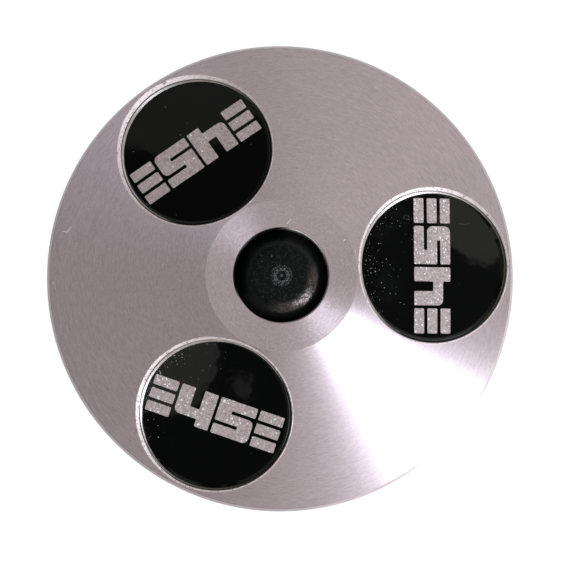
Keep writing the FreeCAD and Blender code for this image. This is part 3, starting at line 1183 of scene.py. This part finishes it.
def make_room(scene, sizes, stage):
    """Light the room plainly, more on one side, with dark and dim patches for the badges to mirror."""
    world = bpy.data.worlds.new("room")
    scene.world = world
    shader = Shader(world)
    way = shader.node("ShaderNodeTexCoord", output="Generated")
    height = shader.split(way)[2]
    drift = (shader.grain(way, 7.0, 3.0, 0.6) - 0.5) * 0.05
    slant = shader.measure("DOT_PRODUCT", way, picture_way(stage, stage.room_bearing, 0))
    overhead = (height + drift).ease(*CEILING_HEIGHT)
    shaded = 1.0 - overhead * (1.0 - stage.ceiling_level)
    raised = stage.horizon_level + (1.0 - stage.horizon_level) * height.ease(*HORIZON_HEIGHT)
    level = (stage.room_level + stage.room_slant * slant).larger(DIMMEST) * shaded * raised
    for index in range(len(BADGE_NODES)):
        offset = shader.measure("DISTANCE", way, badge_glance(sizes, stage, index))
        level = level * (1.0 - BADGE_SHADE * offset.ease(*BADGE_SHADE_REACH))
    for direction, reach, strength in CEILING_PATCHES:
        middle = picture_frame(stage) @ Vector(direction).normalized()
        offset = shader.measure("DISTANCE", way, middle) + drift
        level = level + offset.ease(reach + PATCH_SOFTNESS, reach - PATCH_SOFTNESS) * strength
    light = shader.node("ShaderNodeBackground", {"Color": ROOM_TINT, "Strength": level})
    shader.node("ShaderNodeOutputWorld", {"Surface": light})


FLOOR_TINT = (0.86, 0.86, 0.86, 1.0)
GLOW_TINT = (1.0, 1.0, 1.0, 1.0)
GLOW_STRENGTH = 1.08


def floor_paint(stage):
    """Plain pale paint that is near white where it is seen and still takes a shadow."""
    shader = new_finish("floor_paint")
    seen = shader.node("ShaderNodeLightPath", output="Is Camera Ray")
    white = seen.larger(seen.other("Is Glossy Ray")).larger(seen.other("Is Transmission Ray"))
    paint = shader.node("ShaderNodeBsdfDiffuse", {"Color": FLOOR_TINT})
    plain = shader.node("ShaderNodeEmission", {"Color": GLOW_TINT, "Strength": GLOW_STRENGTH})
    mixed = shader.node("ShaderNodeMixShader", {0: white * stage.floor_white, 1: paint, 2: plain})
    shader.node("ShaderNodeOutputMaterial", {"Surface": mixed})
    return shader.owner


def make_floor(stage):
    """Lay the floor just under the adapter."""
    skin = Skin()
    drop = -0.005 * MM
    up = QUARTER_TURN
    skin.turn([(stage.floor_radius, drop, up), (0, drop, up)], FLOOR_STEPS)
    floor = skin.piece("floor", [floor_paint(stage)])


# Operators

def settle(piece, node):
    """Fix a piece to the part's body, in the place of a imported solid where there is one."""
    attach(piece, BODY)
    if node:
        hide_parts(node)


class ADAPTER_OT_body(Operator):
    """Build the turned body"""

    bl_idname = "adapter.body"
    bl_label = "Turned body"

    def execute(self, context):
        scene = context.scene
        settle(make_body(scene.adapter_sizes, scene.adapter_finish), "adapter_body")
        return {"FINISHED"}


class ADAPTER_OT_badges(Operator):
    """Build the glossy badges"""

    bl_idname = "adapter.badges"
    bl_label = "Glossy badges"

    def execute(self, context):
        scene = context.scene
        for index, node in enumerate(BADGE_NODES):
            piece = make_badge(scene.adapter_sizes, scene.adapter_finish, index)
            settle(piece, node)
        return {"FINISHED"}


class ADAPTER_OT_print(Operator):
    """Print the badges"""

    bl_idname = "adapter.badge_print"
    bl_label = "Badge print"

    def execute(self, context):
        scene = context.scene
        for index in range(len(BADGE_NODES)):
            settle(make_print(scene.adapter_sizes, scene.adapter_finish, index), None)
        return {"FINISHED"}


class ADAPTER_OT_plug(Operator):
    """Build the moulded plug"""

    bl_idname = "adapter.plug"
    bl_label = "Moulded plug"

    def execute(self, context):
        scene = context.scene
        settle(make_plug(scene.adapter_sizes, scene.adapter_finish), "centre_plug")
        return {"FINISHED"}


class ADAPTER_OT_stage(Operator):
    """Set up the floor, the light and the camera"""

    bl_idname = "adapter.stage"
    bl_label = "Stage"

    def execute(self, context):
        scene = context.scene
        scene.view_settings.view_transform = "Standard"
        make_floor(scene.adapter_stage)
        make_room(scene, scene.adapter_sizes, scene.adapter_stage)
        make_key_light(scene.adapter_sizes, scene.adapter_stage)
        make_camera(scene, scene.adapter_sizes, scene.adapter_stage)
        return {"FINISHED"}


OPERATORS = (ADAPTER_OT_body, ADAPTER_OT_badges, ADAPTER_OT_print, ADAPTER_OT_plug, ADAPTER_OT_stage)


class ADAPTER_PT_panel(Panel):
    """Settings and steps of the adapter"""

    bl_idname = "ADAPTER_PT_panel"
    bl_label = "Record Spindle Adapter"
    bl_space_type = "VIEW_3D"
    bl_region_type = "UI"
    bl_category = "Adapter"

    def draw(self, context):
        scene = context.scene
        for group in (scene.adapter_sizes, scene.adapter_finish, scene.adapter_stage):
            box = self.layout.box()
            for name in group.__annotations__:
                box.prop(group, name)
        for operator in OPERATORS:
            self.layout.operator(operator.bl_idname)


GROUPS = {
    "adapter_sizes": AdapterSizes,
    "adapter_finish": AdapterFinish,
    "adapter_stage": AdapterStage,
}


def register():
    for name, group in GROUPS.items():
        bpy.utils.register_class(group)
        setattr(bpy.types.Scene, name, PointerProperty(type=group))
    for item in (*OPERATORS, ADAPTER_PT_panel):
        bpy.utils.register_class(item)


def unregister():
    for item in (ADAPTER_PT_panel, *reversed(OPERATORS)):
        bpy.utils.unregister_class(item)
    for name, group in GROUPS.items():
        delattr(bpy.types.Scene, name)
        bpy.utils.unregister_class(group)


def main():
    register()
    bpy.ops.adapter.body()
    bpy.ops.adapter.badges()
    bpy.ops.adapter.badge_print()
    bpy.ops.adapter.plug()
    bpy.ops.adapter.stage()


if __name__ == "__main__":
    main()
